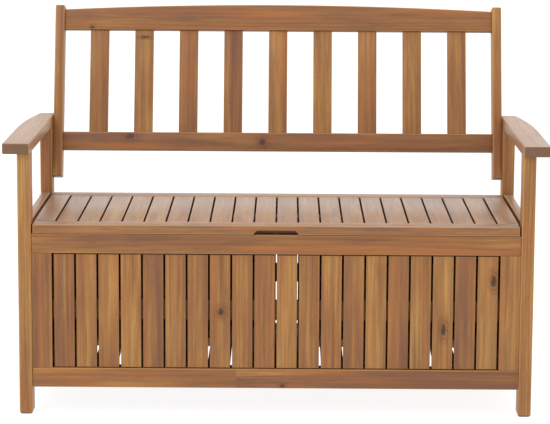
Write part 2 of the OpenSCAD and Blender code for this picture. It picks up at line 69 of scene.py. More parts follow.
class BoardSettings(bpy.types.PropertyGroup):
    """Sizes that the frame's boxes don't say."""

    edge: FloatProperty(
        name="Edge radius",
        description="Radius of the sanded edges of the frame's boards",
        default=2.4 * MM,
        unit="LENGTH",
    )
    slat_edge: FloatProperty(
        name="Slat edge radius",
        description="Radius of the sanded edges of the slats",
        default=1.0 * MM,
        unit="LENGTH",
    )
    arm_edge: FloatProperty(
        name="Arm edge radius",
        description="Radius of the arms' rounded edges",
        default=3.2 * MM,
        unit="LENGTH",
    )
    shadow_gap: FloatProperty(
        name="Open joint",
        description="Open joint between the end of a panel slat's face and its rail",
        default=2.0 * MM,
        unit="LENGTH",
    )
    tongue: FloatProperty(
        name="Tongue thickness",
        description="Thickness of the tongues on the slats' ends",
        default=6.0 * MM,
        unit="LENGTH",
    )
    tongue_length: FloatProperty(
        name="Tongue length",
        description="How far the tongues reach into the rails' grooves",
        default=8.0 * MM,
        unit="LENGTH",
    )
    board_width: FloatProperty(
        name="Board width",
        description="Width of the boards in the panels and the lid",
        default=45.0 * MM,
        unit="LENGTH",
    )
    floor_slat_width: FloatProperty(
        name="Floor slat width",
        description="Width of a floor slat",
        default=50.0 * MM,
        unit="LENGTH",
    )
    lean: FloatProperty(
        name="Lean",
        description="Lean of the backrest from the vertical",
        default=math.radians(15),
        subtype="ANGLE",
    )
    crown: FloatProperty(
        name="Top rail crown",
        description="Extra height of the backrest's top rail at its middle",
        default=14.0 * MM,
        unit="LENGTH",
    )
    foot_chamfer: FloatProperty(
        name="Foot chamfer",
        description="Chamfer round the bottom of each leg",
        default=4.0 * MM,
        unit="LENGTH",
    )
    panel_slats: IntProperty(
        name="Panel slats",
        description="Slats between the end boards of a panel or the lid",
        default=20,
    )
    side_slats: IntProperty(
        name="Side slats", description="Slats in each side panel", default=8
    )
    floor_slats: IntProperty(
        name="Floor slats", description="Slats in the floor", default=17
    )


class WoodSettings(bpy.types.PropertyGroup):
    """Colours of the oiled hardwood; the streak colour also serves as painted shade, and the bleached colour as
    painted sheen.
    """

    gold: FloatVectorProperty(
        name="Golden wood",
        description="Colour of the lightest, most golden wood",
        subtype="COLOR",
        size=3,
        default=(0.435, 0.225, 0.056),
    )
    brown: FloatVectorProperty(
        name="Brown wood",
        description="Colour of most of the boards",
        subtype="COLOR",
        size=3,
        default=(0.316, 0.134, 0.034),
    )
    mauve: FloatVectorProperty(
        name="Mauve heartwood",
        description="Colour of the darkest heartwood",
        subtype="COLOR",
        size=3,
        default=(0.192, 0.078, 0.033),
    )
    orange: FloatVectorProperty(
        name="Orange wood",
        description="Colour of the red and orange stripes",
        subtype="COLOR",
        size=3,
        default=(0.365, 0.124, 0.030),
    )
    # The dark colour of the streaks and knots, which is also the painted shade on downward faces and on the
    # slats' sides and tongues.
    streak_and_shade: FloatVectorProperty(
        name="Streaks",
        description="Colour of the thin dark streaks and knots",
        subtype="COLOR",
        size=3,
        default=(0.090, 0.030, 0.012),
    )
    # Colour of sun-bleached patches, which also serves as a painted sheen on the top faces of the arms, the lid
    # and the side top rails.
    bleached: FloatVectorProperty(
        name="Sun-bleached wood",
        description="Colour of the patches that the sun has bleached on the arms and the lid",
        subtype="COLOR",
        size=3,
        default=(0.295, 0.195, 0.133),
    )
    end_grain: FloatVectorProperty(
        name="End grain",
        description="Colour of the boards' ends",
        subtype="COLOR",
        size=3,
        default=(0.118, 0.053, 0.023),
    )
    roughness: FloatProperty(
        name="Roughness",
        description="Roughness of the oiled surface",
        default=0.46,
        min=0.0,
        max=1.0,
        subtype="FACTOR",
    )


class StageSettings(bpy.types.PropertyGroup):
    """The camera, the lamps and the floor."""

    camera_distance: FloatProperty(
        name="Camera distance",
        description="Distance of the camera in front of the bench's middle",
        default=4.895,
        unit="LENGTH",
    )
    camera_height: FloatProperty(
        name="Camera height",
        description="Height of the camera above the ground",
        default=1.269,
        unit="LENGTH",
    )
    camera_side: FloatProperty(
        name="Camera side",
        description="Distance of the camera to the right of the bench's middle",
        default=0.020,
        unit="LENGTH",
    )
    camera_pitch: FloatProperty(
        name="Camera pitch",
        description="How far the camera looks down",
        default=math.radians(8.475),
        subtype="ANGLE",
    )
    camera_yaw: FloatProperty(
        name="Camera yaw",
        description="How far the camera is turned to the left",
        default=math.radians(0.29),
        subtype="ANGLE",
    )
    camera_roll: FloatProperty(
        name="Camera roll",
        description="How far the camera is turned about its own line of sight",
        default=math.radians(0.31),
        subtype="ANGLE",
    )
    lens: FloatProperty(
        name="Lens", description="Focal length of the camera", default=139.3, unit="CAMERA"
    )
    shift: FloatProperty(
        name="Shift", description="The camera's small vertical shift", default=-0.10
    )
    floor_glow: FloatProperty(
        name="Floor glow",
        description="Light that the backlit studio floor gives",
        default=0.90,
    )
    floor_colour: FloatVectorProperty(
        name="Floor colour",
        description="Colour of the studio floor",
        subtype="COLOR",
        size=3,
        default=(0.18, 0.18, 0.18),
    )
    surroundings: FloatProperty(
        name="Surroundings", description="Brightness of the white surroundings", default=1.08
    )
    lamp_power: FloatProperty(
        name="Lamp power", description="Power of each lamp", default=60.0, unit="POWER"
    )
    lamp_width: FloatProperty(
        name="Lamp width", description="Width of each square lamp", default=2.4, unit="LENGTH"
    )


# ---------------------------------------------------------------- modelling helpers


def settings():
    return bpy.context.scene.bench_boards


def node_box(node):
    low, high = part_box(node)
    return Vector(low), Vector(high)


def deselect():
    bpy.ops.object.select_all(action="DESELECT")


def make_active(piece):
    deselect()
    piece.select_set(True)
    bpy.context.view_layer.objects.active = piece


def apply_place(piece):
    make_active(piece)
    bpy.ops.object.transform_apply(location=True, rotation=True, scale=True)


def apply_modifiers(piece):
    make_active(piece)
    for modifier in list(piece.modifiers):
        bpy.ops.object.modifier_apply(modifier=modifier.name)


def block(name, low, high):
    """A primitive block between two corners, with its place in its mesh."""
    deselect()
    low, high = Vector(low), Vector(high)
    bpy.ops.mesh.primitive_cube_add(size=1, location=(low + high) / 2, scale=high - low)
    piece = bpy.context.object
    piece.name = piece.data.name = name
    apply_place(piece)
    return piece


def select_edges(piece, test):
    """Selects the edges whose two ends pass the test."""
    verts = piece.data.vertices
    for part in (piece.data.polygons, verts):
        part.foreach_set("select", [False] * len(part))
    for edge in piece.data.edges:
        a, b = (verts[i].co for i in edge.vertices)
        edge.select = bool(test(a, b))


def in_edit_mode(piece, action):
    """Runs an action on a piece's edges in edit mode."""
    make_active(piece)
    bpy.ops.object.mode_set(mode="EDIT")
    bpy.ops.mesh.select_mode(type="EDGE")
    action()
    bpy.ops.object.mode_set(mode="OBJECT")


def cut_along(piece, axis, cuts):
    """Cuts a block into equal lengths along an axis."""
    other = [k for k in (X, Y, Z) if k != axis]
    select_edges(piece, lambda a, b: all(abs(a[k] - b[k]) < TINY for k in other))
    in_edit_mode(piece, lambda: bpy.ops.mesh.subdivide(number_cuts=cuts))


def bevel_selected(piece, width, steps):
    """Bevels a piece's selected edges."""
    in_edit_mode(piece, lambda: bpy.ops.mesh.bevel(offset=width, segments=steps))


def select_sharp():
    """Selects the sharp edges of the piece that is in edit mode."""
    bpy.ops.mesh.select_all(action="DESELECT")
    bpy.ops.mesh.edges_select_sharp(sharpness=SHARP)


def round_edges(piece, radius):
    """Sands all the sharp edges of a board to a radius."""
    bevel = piece.modifiers.new("sanded edges", "BEVEL")
    bevel.width = radius
    bevel.segments = EDGE_STEPS
    bevel.limit_method = "ANGLE"
    bevel.angle_limit = SHARP
    apply_modifiers(piece)


def round_edges_but(piece, radius, steps, kept):
    """Sands a piece's sharp edges to a radius, apart from those whose two ends pass the test."""
    in_edit_mode(piece, select_sharp)
    sharp = [edge.select for edge in piece.data.edges]
    select_edges(piece, lambda a, b: not kept(a, b))
    for edge, was_sharp in zip(piece.data.edges, sharp):
        edge.select = edge.select and was_sharp
    bevel_selected(piece, radius, steps)


def combine(piece, operation, others):
    """Joins other pieces to a piece, or cuts them out of it, and removes them."""
    for other in others:
        step = piece.modifiers.new("combine", "BOOLEAN")
        step.operation = operation
        step.solver = "EXACT"
        step.object = other
        apply_modifiers(piece)
        bpy.data.objects.remove(other, do_unlink=True)


def cut_away(piece, *cutters):
    combine(piece, "DIFFERENCE", cutters)


def rod(name, centre, radius, length):
    """A cylinder along X, as a cutter for a bored hole."""
    deselect()
    bpy.ops.mesh.primitive_cylinder_add(
        vertices=32, radius=radius, depth=length, location=centre, rotation=(0, math.pi / 2, 0)
    )
    piece = bpy.context.object
    piece.name = name
    apply_place(piece)
    return piece


def shade(piece):
    make_active(piece)
    bpy.ops.object.shade_smooth_by_angle(angle=math.radians(35))


# ---------------------------------------------------------------- grain

draw = random.Random(20)


SQUARELY = 0.7  # a face looks along an axis if its normal's share of it is larger than this


def read(items, field):
    """A vector of each of a mesh's vertices or faces, in rows of three."""
    values = np.empty(len(items) * 3)
    items.foreach_get(field, values)
    return values.reshape(-1, 3)


def give_grain(piece, along, tint=None, shown=None):
    """Stores each point's place in its own board: along, across and through, from a pith beside it.

    Faces beyond the stretch that is shown belong to tongues; they and the board's sides, which face the gaps
    between slats, carry the mask for a painted shade.
    """
    mesh = piece.data
    places = read(mesh.vertices, "co")
    normals = read(mesh.polygons, "normal")
    run = read(mesh.polygons, "center")[:, along]
    low, high = shown or (run.min(), run.max())
    tongues = (run < low - TINY) | (run > high + TINY)
    middle = (places.min(0) + places.max(0)) / 2
    size = places.max(0) - places.min(0)
    across, through = sorted((k for k in (X, Y, Z) if k != along), key=lambda k: -size[k])
    pith = (draw.uniform(-0.035, 0.035), draw.choice((-1, 1)) * draw.uniform(0.03, 0.075))
    grain = np.empty_like(places)
    grain[:, 0] = places[:, along] - middle[along] + draw.uniform(0, 60)
    grain[:, 1] = places[:, across] - middle[across] + pith[0]
    grain[:, 2] = places[:, through] - middle[through] + pith[1]
    store(mesh, "grain", "FLOAT_VECTOR", "POINT", "vector", grain)
    drawn = draw.betavariate(2.2, 2.2)
    tone = drawn if tint is None else tint
    store(mesh, "tint", "FLOAT", "POINT", "value", np.full(len(places), tone))
    facing = np.abs(normals)
    for name, faces in (
        ("end", facing[:, along] > SQUARELY),
        # The sides and the tongues carry the mask for the painted shade in the gaps between slats.
        ("side", (facing[:, across] > SQUARELY) | tongues),
        # Top faces carry the mask for the sun-bleached patches and the painted sheen.
        ("top", normals[:, Z] > SQUARELY),
        # Faces that point down carry the mask for a painted shade.
        ("under", normals[:, Z] < -0.3),
        # Faces on the rounded edges carry the mask for a painted highlight.
        ("painted_edge_highlight", facing.max(axis=1) < math.cos(math.radians(13))),
    ):
        store(mesh, name, "FLOAT", "FACE", "value", faces.astype(float))


def store(mesh, name, kind, domain, field, values):
    """Stores an attribute on a mesh, in place of one with the same name."""
    if name in mesh.attributes:
        mesh.attributes.remove(mesh.attributes[name])
    layer = mesh.attributes.new(name, kind, domain)
    layer.data.foreach_set(field, np.asarray(values, dtype=np.float32).ravel())


def copy_of(piece, move):
    """A copy with its own mesh, moved by a vector."""
    other = piece.copy()
    other.data = piece.data.copy()
    bpy.context.collection.objects.link(other)
    other.location = move
    apply_place(other)
    return other


def joined(name, parts):
    """Joins pieces into the first of them."""
    piece = parts[0]
    make_active(piece)
    for part in parts:
        part.select_set(True)
    bpy.ops.object.join()
    piece.name = piece.data.name = name
    return piece


# ---------------------------------------------------------------- materials


def add(tree, kind, inputs=None, **fields):
    """Adds a shader node, sets its fields, and sets or links its inputs."""
    node = tree.nodes.new(kind)
    for field, value in fields.items():
        setattr(node, field, value)
    for key, value in (inputs or {}).items():
        if isinstance(value, bpy.types.NodeSocket):
            tree.links.new(value, node.inputs[key])
        else:
            node.inputs[key].default_value = value
    return node


def new_material(name):
    """A new material, with its node tree and its shader."""
    material = bpy.data.materials.new(name)
    material.use_nodes = True
    tree = material.node_tree
    return material, tree, tree.nodes["Principled BSDF"]


def here(tree):
    """The place of a point on the bench."""
    return add(tree, "ShaderNodeTexCoord").outputs["Object"]


def scaled(colour, share):
    return tuple(c * share for c in colour)


def maths(tree, operation, *values):
    return add(tree, "ShaderNodeMath", dict(enumerate(values)), operation=operation).outputs[0]


def vectors(tree, operation, *values):
    return add(tree, "ShaderNodeVectorMath", dict(enumerate(values)), operation=operation).outputs


def mix(tree, factor, a, b):
    """Mixes two colours, each a socket or three numbers."""
    a, b = (c if isinstance(c, bpy.types.NodeSocket) else (*c, 1.0) for c in (a, b))
    inputs = {0: factor, 6: a, 7: b}
    return add(tree, "ShaderNodeMix", inputs, data_type="RGBA", clamp_factor=True).outputs[2]


def ranged(tree, value, low, high, to_low=0.0, to_high=1.0):
    """Brings a value from one range to another, and keeps it there."""
    node = add(
        tree,
        "ShaderNodeMapRange",
        {"Value": value, "From Min": low, "From Max": high, "To Min": to_low, "To Max": to_high},
    )
    return node.outputs[0]


def noise(tree, place, scale, detail, roughness=0.55):
    """Noise stretched along the grain; scale is per metre along, across and through."""
    stretched = add(tree, "ShaderNodeMapping", {"Vector": place, "Scale": scale}).outputs[0]
    node = add(
        tree,
        "ShaderNodeTexNoise",
        {"Vector": stretched, "Scale": 1.0, "Detail": detail, "Roughness": roughness},
    )
    return node.outputs["Fac"]


def ramp(tree, value, stops):
    """Turns a value into a colour; the first two stops take the places of the ramp's own."""
    node = add(tree, "ShaderNodeValToRGB", {"Fac": value})
    elements = node.color_ramp.elements
    for index, (place, colour) in enumerate(stops):
        element = elements[index] if index < 2 else elements.new(place)
        element.position = place
        element.color = (*colour, 1.0)
    return node.outputs["Color"]


def knot(tree, colour, streak_and_shade, centre, radii):
    """Mixes a knot into a colour: a dark eye with rings round it, at a place on the bench."""
    away = add(
        tree,
        "ShaderNodeMapping",
        {"Vector": here(tree), "Location": centre, "Scale": radii},
        vector_type="TEXTURE",
    ).outputs[0]
    wobble = add(tree, "ShaderNodeTexNoise", {"Vector": away, "Scale": 1.7, "Detail": 3.0})
    wobble = vectors(tree, "SUBTRACT", wobble.outputs["Color"], (0.5, 0.5, 0.5))[0]
    bent = vectors(tree, "MULTIPLY_ADD", wobble, (1.3, 1.3, 1.3), away)[0]
    distance = vectors(tree, "LENGTH", bent)["Value"]
    rings = maths(tree, "SINE", maths(tree, "MULTIPLY", distance, 13.0))
    rings = ranged(tree, rings, -1.0, 1.0, 0.15, 0.80)
    near = ranged(tree, distance, 0.6, 2.1, 1.0, 0.0)
    ringed = mix(tree, maths(tree, "MULTIPLY", rings, near), colour, streak_and_shade)
    eye = ranged(tree, distance, 0.35, 0.80, 0.95, 0.0)
    return mix(tree, eye, ringed, scaled(streak_and_shade, 0.7))


def inside_wedge(tree, start, tip):
    """1 in a stave on the bench's front whose lower edge rises from its start to its tip, 0 elsewhere."""
    x, y, z = add(tree, "ShaderNodeSeparateXYZ", {0: here(tree)}).outputs
    slope = (tip[1] - start[1]) / (tip[0] - start[0])
    edge = maths(tree, "MULTIPLY_ADD", x, slope, start[1] - slope * start[0])
    inside = maths(tree, "GREATER_THAN", z, edge)
    for test in (
        maths(tree, "GREATER_THAN", x, start[0]),
        maths(tree, "LESS_THAN", x, tip[0]),
        maths(tree, "LESS_THAN", y, 0.0),
        maths(tree, "LESS_THAN", z, tip[1] + 1 * MM),
    ):
        inside = maths(tree, "MULTIPLY", inside, test)
    return inside


def wood(name, knots=(), wedge=None, redder=0.0, warm=0.60, coat=0.05, bleached=0.0, painted_gap_shade=0.0):
    """Oiled hardwood: bands from gold to mauve, orange stripes, rings, fibres, dark streaks and end grain, with
    a painted highlight on rounded edges, painted shade on downward faces and in gaps, and sun-bleached patches
    with painted sheen on tops.
    """
    colours = bpy.context.scene.bench_wood
    gold, brown, mauve, orange, streak_and_shade, bleach_and_sheen_wood, end_grain = (
        tuple(getattr(colours, tone))
        for tone in ("gold", "brown", "mauve", "orange", "streak_and_shade", "bleached", "end_grain")
    )
    material, tree, shader = new_material(name)
    grain = add(tree, "ShaderNodeAttribute", attribute_name="grain").outputs["Vector"]
    tint, end, side, top, under, painted_edge_highlight = (
        add(tree, "ShaderNodeAttribute", attribute_name=layer).outputs["Fac"]
        for layer in ("tint", "end", "side", "top", "under", "painted_edge_highlight")
    )

    bands = noise(tree, grain, (3.2, 30.0, 30.0), 3.0, 0.6)
    stripes = noise(tree, grain, (6.0, 105.0, 105.0), 3.0, 0.6)
    warmth = noise(tree, grain, (2.6, 38.0, 36.0), 2.0)
    fibres = noise(tree, grain, (7.0, 360.0, 360.0), 4.0, 0.62)
    flecks = noise(tree, grain, (42.0, 1000.0, 1000.0), 2.0, 0.5)
    dark = noise(tree, grain, (1.7, 80.0, 80.0), 2.0, 0.5)
    ring_place = add(
        tree, "ShaderNodeMapping", {"Vector": grain, "Scale": (4.0, 46.0, 46.0)}
    ).outputs[0]
    rings = add(
        tree,
        "ShaderNodeTexWave",
        {"Vector": ring_place, "Scale": 1.0, "Distortion": 7.0, "Detail": 2.0, "Detail Scale": 0.45},
        wave_type="RINGS",
        rings_direction="X",
    ).outputs["Fac"]

    hue = ranged(tree, tint, 0.0, 1.0, 0.10 - redder, 0.90 - redder)
    hue = maths(tree, "ADD", hue, ranged(tree, bands, 0.25, 0.75, -0.54, 0.54))
    hue = maths(tree, "ADD", hue, ranged(tree, stripes, 0.25, 0.75, -0.20, 0.20))
    if wedge:
        inside = inside_wedge(tree, *wedge)
        hue = maths(tree, "ADD", hue, maths(tree, "MULTIPLY", inside, 0.6))
    colour = ramp(tree, hue, ((0.0, mauve), (1.0, gold), (0.5, brown)))
    colour = mix(tree, ranged(tree, warmth, 0.46, 0.68, 0.0, warm), colour, orange)
    ringed = maths(tree, "MULTIPLY", maths(tree, "POWER", rings, 2.0), 0.30)
    colour = mix(tree, ringed, colour, scaled(mauve, 0.62))
    colour = mix(tree, ranged(tree, fibres, 0.42, 0.68, 0.0, 0.40), colour, scaled(mauve, 0.80))
    colour = mix(tree, ranged(tree, flecks, 0.60, 0.72, 0.0, 0.45), colour, streak_and_shade)
    colour = mix(tree, ranged(tree, dark, 0.62, 0.72, 0.0, 0.50), colour, scaled(streak_and_shade, 1.3))
    # Sun-bleached patches on the top faces only, which also paint the pale sheen that light gives these tops.
    if bleached:
        patches = noise(tree, grain, (14.0, 26.0, 26.0), 3.0, 0.6)
        patches = ranged(tree, patches, 0.35, 0.65, bleached * 0.35, bleached)
        colour = mix(tree, maths(tree, "MULTIPLY", patches, top), colour, bleach_and_sheen_wood)
    for centre, radii in knots:
        colour = knot(tree, colour, streak_and_shade, centre, radii)
    # Painted highlight: the rounded edges are lightened towards a bright gold.
    colour = mix(tree, maths(tree, "MULTIPLY", painted_edge_highlight, 0.40), colour, scaled(gold, 1.2))
    # Painted shade: faces that point down are darkened towards the dark streak colour.
    colour = mix(tree, maths(tree, "MULTIPLY", under, 0.6), colour, streak_and_shade)
    # Painted shade in the gaps: the slats' sides and the tongues seen in the open joints are darkened.
    if painted_gap_shade:
        colour = mix(tree, maths(tree, "MULTIPLY", side, painted_gap_shade), colour, streak_and_shade)
    colour = mix(tree, maths(tree, "MULTIPLY", end, 0.85), colour, end_grain)

    rough = ranged(tree, fibres, 0.3, 0.7, colours.roughness - 0.08, colours.roughness + 0.12)
    height = maths(tree, "ADD", maths(tree, "MULTIPLY", fibres, 0.7), maths(tree, "MULTIPLY", rings, 0.3))
    bump = add(tree, "ShaderNodeBump", {"Strength": 0.35, "Distance": 0.0006, "Height": height}).outputs[0]
    tree.links.new(colour, shader.inputs["Base Color"])
    tree.links.new(rough, shader.inputs["Roughness"])
    tree.links.new(bump, shader.inputs["Normal"])
    shader.inputs["Specular IOR Level"].default_value = 0.36
    shader.inputs["Coat Weight"].default_value = coat
    shader.inputs["Coat Roughness"].default_value = 0.32
    return material


def black_nylon(name):
    """Black nylon, faintly mottled."""
    material, tree, shader = new_material(name)
    mottle = {"Vector": here(tree), "Scale": 600.0, "Detail": 2.0}
    mottle = add(tree, "ShaderNodeTexNoise", mottle).outputs["Fac"]
    colour = ramp(tree, mottle, ((0.3, (0.012, 0.011, 0.010)), (0.8, (0.030, 0.028, 0.026))))
    tree.links.new(colour, shader.inputs["Base Color"])
    tree.links.new(ranged(tree, mottle, 0.3, 0.7, 0.45, 0.60), shader.inputs["Roughness"])
    return material


def plated_steel(name):
    """Zinc-plated steel: faintly mottled, with a brushed bump."""
    material, tree, shader = new_material(name)
    mottle = {"Vector": here(tree), "Scale": 420.0, "Detail": 3.0}
    mottle = add(tree, "ShaderNodeTexNoise", mottle).outputs["Fac"]
    colour = ramp(tree, mottle, ((0.3, (0.42, 0.42, 0.43)), (0.75, (0.66, 0.66, 0.65))))
    scratch = noise(tree, here(tree), (300.0, 2400.0, 2400.0), 2.0)
    bump = add(tree, "ShaderNodeBump", {"Strength": 0.2, "Distance": 0.0001, "Height": scratch}).outputs[0]
    tree.links.new(colour, shader.inputs["Base Color"])
    tree.links.new(ranged(tree, mottle, 0.3, 0.7, 0.28, 0.46), shader.inputs["Roughness"])
    tree.links.new(bump, shader.inputs["Normal"])
    shader.inputs["Metallic"].default_value = 1.0
    return material


MATERIALS = {}


def dress(piece, material, body, node):
    """Gives a finished piece its material and its body, and hides the CAD node that it stands for."""
    shade(piece)
    piece.data.materials.clear()
    piece.data.materials.append(MATERIALS[material])
    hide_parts(node)
    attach(piece, body)


# ---------------------------------------------------------------- boards


def longest(low, high):
    """The axis along which a box is longest."""
    size = high - low
    return max((X, Y, Z), key=lambda k: size[k])


def plain_board(node, radius):
    """A board that fills a CAD node's box, with sanded edges."""
    piece = block(node + "_wood", *node_box(node))
    round_edges(piece, radius)
    return piece


def batten(node, body="bench"):
    """A plain board of inner wood, dressed."""
    piece = plain_board(node, settings().slat_edge)
    give_grain(piece, longest(*node_box(node)))
    dress(piece, "inner", body, node)


def groove_cutter(node, across, depth, face, middle, short):
    """A cutter for a groove in a rail's face, which stops short of the rail's ends."""
    size = settings()
    low, high = node_box(node)
    run = longest(low, high)
    low[run] += short
    high[run] -= short
    low[across], high[across] = middle - size.tongue / 2, middle + size.tongue / 2
    low[depth], high[depth] = face - size.tongue_length, face + size.tongue_length
    return block("groove", low, high)


def tongued_slat(name, low, high, along, face_low, face_high, through):
    """A slat whose face runs from face_low to face_high, with a thin tongue beyond each end."""
    size = settings()
    a, b = Vector(low), Vector(high)
    a[along], b[along] = face_low, face_high
    slat = block(name, a, b)
    round_edges(slat, size.slat_edge)
    if low[along] >= face_low - TINY:
        return slat
    middle = (low[through] + high[through]) / 2
    a[through], b[through] = middle - size.tongue / 2, middle + size.tongue / 2
    hidden = size.shadow_gap
    tongues = []
    for start, stop in ((low[along], face_low + hidden), (face_high - hidden, high[along])):
        a[along], b[along] = start, stop
        tongues.append(block("tongue", a, b))
    combine(slat, "UNION", tongues)
    return slat


def row_of_slats(node, count, width, along, across, face_low, face_high, tones=None):
    """Evenly spaced slats that fill a CAD node's box, each with a grain of its own."""
    name = node + "_wood"
    low, high = node_box(node)
    through = X + Y + Z - along - across
    step = (high[across] - low[across] - width) / (count - 1)
    first_high = Vector(high)
    first_high[across] = low[across] + width
    first = tongued_slat(name, low, first_high, along, face_low, face_high, through)
    parts = []
    for index in range(count):
        move = Vector((0, 0, 0))
        move[across] = index * step
        part = copy_of(first, move)
        give_grain(part, along, tones[index] if tones else None, (face_low, face_high))
        parts.append(part)
    bpy.data.objects.remove(first, do_unlink=True)
    return joined(name, parts)


def leaning_board(node, radius, shape=None, tint=None):
    """A board of the backrest: built upright at its own size, shaped, then leant back."""
    low, high = node_box(node)
    lean = settings().lean
    c, s = math.cos(lean), math.sin(lean)
    tall, deep = high.z - low.z, high.y - low.y
    height = (tall * c - deep * s) / (c * c - s * s)
    depth = (deep * c - tall * s) / (c * c - s * s)
    pivot = Vector((0, low.y, low.z + depth * s))
    a, b = Vector((low.x, 0, 0)), Vector((high.x, depth, height))
    piece = block(node + "_wood", a, b)
    if shape:
        shape(piece, height)
    round_edges(piece, radius)
    give_grain(piece, longest(a, b), tint)
    piece.rotation_euler = (-lean, 0, 0)
    piece.location = pivot
    apply_place(piece)
    return piece


# Each board's tone from left to right: 0 is the darkest heartwood and 1 the most golden
FRONT_TONES = (
    0.33, 0.70, 0.57, 0.80, 0.08, 0.45, 0.60, 0.53, 0.60, 0.57,
    0.95, 0.65, 0.70, 0.45, 0.95, 0.40, 0.62, 0.95, 0.42, 0.85,
)
LID_TONES = (
    0.30, 0.72, 0.75, 0.72, 0.80, 0.66, 0.58, 0.66, 0.66, 0.72,
    0.40, 0.55, 0.60, 0.45, 0.48, 0.68, 0.35, 0.30, 0.42, 0.55,
)
BACK_TONES = (0.34, 0.60, 0.28, 0.40, 0.44, 0.66, 0.48, 0.58, 0.62)

# Knots: middle, and half sizes along X, Y and Z
RAIL_KNOTS = (
    ((-0.355, 0.187, 0.561), (0.017, 0.030, 0.010)),
    ((-0.036, 0.183, 0.549), (0.012, 0.030, 0.011)),
    ((-0.451, 0.255, 0.817), (0.006, 0.030, 0.005)),
    ((0.016, -0.287, 0.068), (0.008, 0.030, 0.006)),
)
SLAT_KNOTS = (
    ((-0.121, -0.286, 0.235), (0.009, 0.020, 0.012)),
    ((0.481, -0.286, 0.308), (0.009, 0.020, 0.019)),
    ((0.372, -0.286, 0.198), (0.008, 0.020, 0.020)),
)
BACK_SLAT_KNOTS = (
    ((-0.323, 0.254, 0.794), (0.018, 0.030, 0.004)),
    ((0.287, 0.226, 0.691), (0.006, 0.030, 0.010)),
)

# The golden stave in the front panel's bottom rail: X and Z of its lower corner at the joint and of its tip
RAIL_WEDGE = ((-0.087, 0.0885), (0.265, 0.106))

# Where the end-glued joint in each panel's bottom rail is, along X, and its two boards' tones
RAIL_JOINTS = {"front": (-0.087, 0.50, 0.06), "rear": (0.210, 0.30, 0.60)}


def end_glued(rail, joint, *tones):
    """Cuts a rail along X into two boards that are glued end to end, each with a grain of its own."""
    other = copy_of(rail, (0, 0, 0))
    for board, tone, keep_left in ((rail, tones[0], True), (other, tones[1], False)):
        make_active(board)
        bpy.ops.object.mode_set(mode="EDIT")
        bpy.ops.mesh.select_all(action="SELECT")
        bpy.ops.mesh.bisect(
            plane_co=(joint, 0, 0),
            plane_no=(1, 0, 0),
            use_fill=True,
            clear_inner=not keep_left,
            clear_outer=keep_left,
        )
        bpy.ops.object.mode_set(mode="OBJECT")
        give_grain(board, X, tone)
    return joined(rail.name, [rail, other])


# ---------------------------------------------------------------- operators


class BENCH_OT_materials(bpy.types.Operator):
    """Make the wood and the steel"""

    bl_idname = "bench.materials"
    bl_label = "Materials"

    def execute(self, context):
        # Every wood gets a painted highlight on its rounded edges and painted shade underneath. The slat woods
        # also get painted shade on their sides and tongues, and the arm and lid woods get sun-bleached patches
        # with painted sheen on their tops.
        MATERIALS["frame"] = wood("oiled frame wood", coat=0.10)
        MATERIALS["arm"] = wood("oiled arm wood", coat=0.55, bleached=0.55)
        MATERIALS["rail"] = wood("oiled rail wood", RAIL_KNOTS, RAIL_WEDGE, redder=0.12, warm=0.80)
        MATERIALS["slat"] = wood("oiled slat wood", SLAT_KNOTS, redder=0.07, painted_gap_shade=0.9)
        MATERIALS["back slat"] = wood("oiled back slat wood", BACK_SLAT_KNOTS)
        MATERIALS["lid"] = wood("oiled lid wood", redder=0.04, warm=0.80, coat=0.40, bleached=0.6)
        MATERIALS["lid slat"] = wood("oiled lid slat wood", coat=0.60, bleached=0.6, painted_gap_shade=0.9)
        MATERIALS["inner"] = wood("inner batten wood", redder=0.16, coat=0.05)
        MATERIALS["steel"] = plated_steel("plated steel")
        MATERIALS["nylon"] = black_nylon("black nylon")
        return {"FINISHED"}


BOLT_REACH = 12 * MM  # points this close together belong to the same bolt
HEAD_PLAY = 0.5 * MM  # room round a bolt's head
HEAD_DEPTH = 6 * MM  # depth of the sunk hole for a bolt's head
PIN_HOLE, PIN_BORE = 4.0 * MM, 4.05 * MM  # radii of the hinge pins' holes in the side rails and the lid
PIN_REACH = 80 * MM  # length of the cutters for the hinge pins' holes


def bolt_cutters(outer, low, high):
    """Cutters for the sunk holes of the bolts whose heads lie in a leg's outer face."""
    cutters = []
    for node in ("frame_bolts", "back_bolts"):
        points = [vertex.co.copy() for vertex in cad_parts[node].data.vertices]
        inside = [
            p for p in points if p.x * outer > 0 and low.y < p.y < high.y and low.z < p.z < high.z
        ]
        cutters.extend(heads_of(inside, outer))
    return cutters


def heads_of(points, outer):
    """One cutter for each bolt that the points belong to, a little wider than its head."""
    heads = []
    for p in points:
        for head in heads:
            if (p.yz - head[0].yz).length < BOLT_REACH:
                head.append(p)
                break
        else:
            heads.append([p])
    cutters = []
    for head in heads:
        ys, zs = [p.y for p in head], [p.z for p in head]
        radius = (max(ys) - min(ys)) / 2 + HEAD_PLAY
        centre = (outer, (max(ys) + min(ys)) / 2, (max(zs) + min(zs)) / 2)
        cutters.append(rod("bolt hole", centre, radius, 2 * HEAD_DEPTH))
    return cutters


